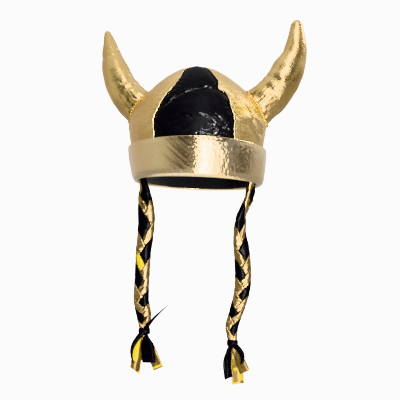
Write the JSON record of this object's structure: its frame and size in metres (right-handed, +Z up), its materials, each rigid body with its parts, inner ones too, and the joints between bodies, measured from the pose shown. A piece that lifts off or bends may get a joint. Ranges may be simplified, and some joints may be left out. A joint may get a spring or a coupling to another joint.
{
  "type": "viking helmet",
  "caption": "Soft costume helmet: hollow gold and black cloth crown with a padded cuff round the rim, stuffed curved horns at the sides, and cloth plaits hanging at the temples.",
  "frame": {"origin": "middle of the rim, where the wearer's head goes in", "axes": "+Z up through the top of the crown, -Y towards the front, -X towards the left as seen from the front"},
  "size_m": [0.3386, 0.2341, 0.5832],
  "materials": {
    "gold_lame": "metallic gold foil cloth, crinkled, glossy",
    "black_wet_look": "black foil cloth with a wet gloss",
    "black_lining": "matte black woven lining"
  },
  "bodies": {
    "root": {"crown_right_panel": "gold_lame", "crown_back_panel": "black_wet_look", "crown_left_panel": "gold_lame", "crown_front_panel": "black_wet_look", "lining": "black_lining", "cuff": "gold_lame", "horn_left": "gold_lame", "horn_right": "gold_lame", "plait_left_black": "black_wet_look", "plait_left_gold_a": "gold_lame", "plait_left_gold_b": "gold_lame", "tie_left": "black_wet_look", "plait_right_black": "black_wet_look", "plait_right_gold_a": "gold_lame", "plait_right_gold_b": "gold_lame", "tie_right": "black_wet_look"}
  },
  "joints": []
}
